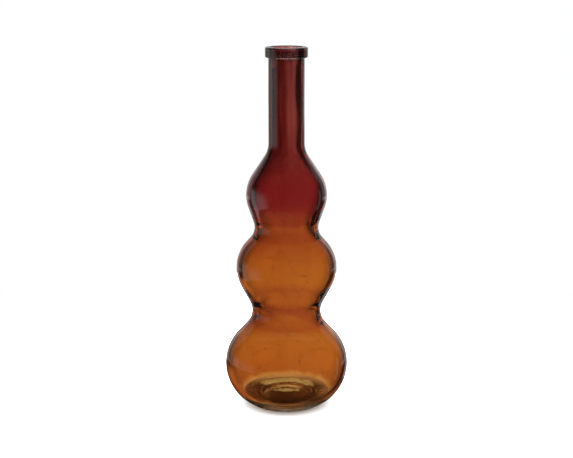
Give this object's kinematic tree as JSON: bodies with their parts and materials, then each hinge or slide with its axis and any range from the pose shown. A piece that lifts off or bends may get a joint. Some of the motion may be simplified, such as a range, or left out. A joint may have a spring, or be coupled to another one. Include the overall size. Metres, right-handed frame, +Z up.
{
  "type": "glass bud vase",
  "caption": "Tall glass bud vase: stacked round bulbs under a tubular neck with a banded lip, tinted clear red above and amber below; holds a few cut stems in water.",
  "frame": {"origin": "centre of the base, on the surface that the vase stands on", "axes": "+Z up along the vase's axis from the base to the mouth; X and Y lie in the plane of the base, and the vase is round about Z"},
  "size_m": [0.1022, 0.1022, 0.3],
  "materials": {
    "clear_glass": "smooth recycled glass with a faint green tint and slight hand-made waviness",
    "red_lacquer": "thin transparent deep red lacquer film, glossy",
    "amber_lacquer": "thin transparent amber lacquer film, glossy"
  },
  "bodies": {
    "root": {"lip_ring": "clear_glass", "neck": "clear_glass", "upper_bulb": "clear_glass", "middle_bulb": "clear_glass", "lower_bulb": "clear_glass", "punted_base": "clear_glass", "red_lacquer_coat": "red_lacquer", "amber_lacquer_coat": "amber_lacquer"}
  },
  "joints": []
}
